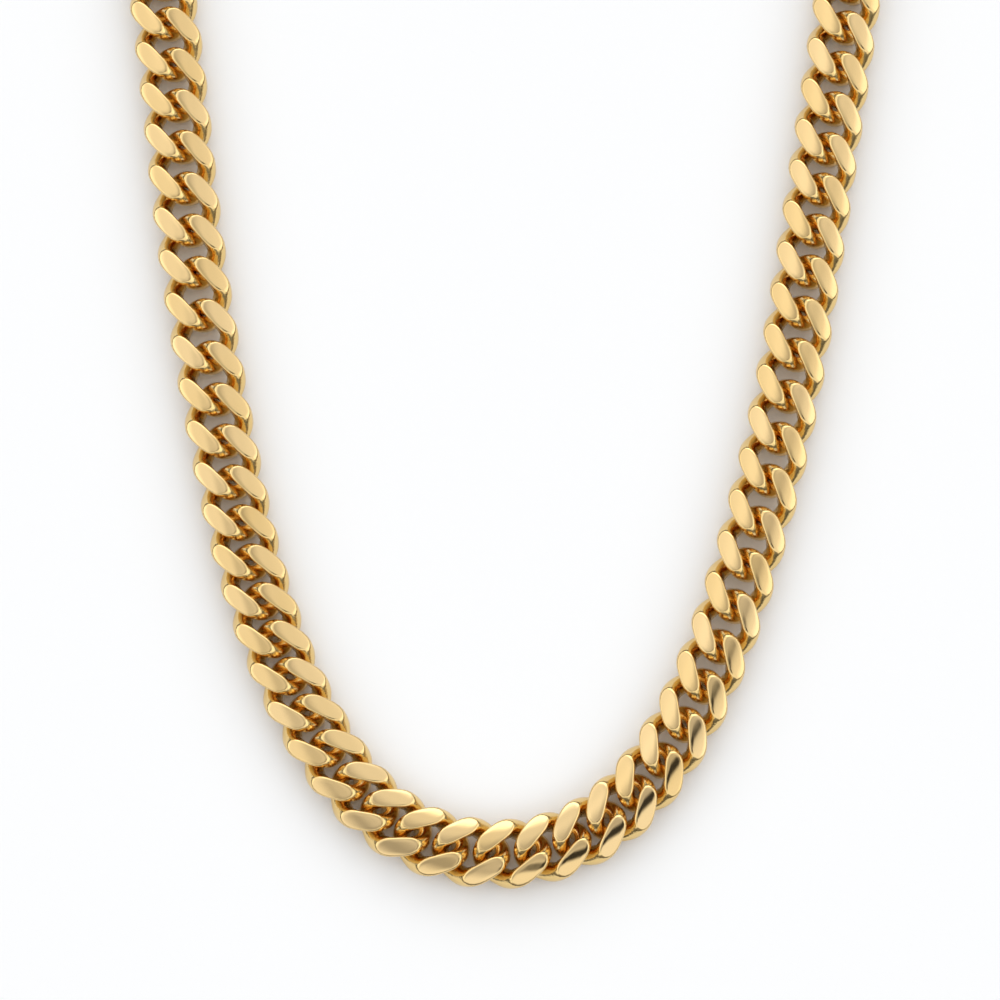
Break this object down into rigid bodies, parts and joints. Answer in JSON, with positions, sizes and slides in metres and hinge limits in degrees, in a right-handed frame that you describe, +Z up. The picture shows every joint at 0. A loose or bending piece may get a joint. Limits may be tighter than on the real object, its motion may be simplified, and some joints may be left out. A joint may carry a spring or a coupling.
{
  "type": "curb chain necklace",
  "caption": "Flat curb chain necklace of twisted, ground oval links that pass through each other, closed by a plain box clasp and laid out flat as a loop.",
  "frame": {"origin": "middle of the loop's box, on the surface that the necklace lies on", "axes": "+Z up from that surface, +Y towards the clasp at the back of the neck, -Y towards the front of the necklace, +X to the right as seen from above"},
  "size_m": [0.118, 0.2124, 0.005],
  "materials": {
    "chain_gold": "gold plated, ground faces polished",
    "clasp_gold": "gold plated, polished"
  },
  "bodies": {
    "root": {"left_chain": "chain_gold", "right_chain": "chain_gold", "clasp": "clasp_gold"}
  },
  "joints": []
}
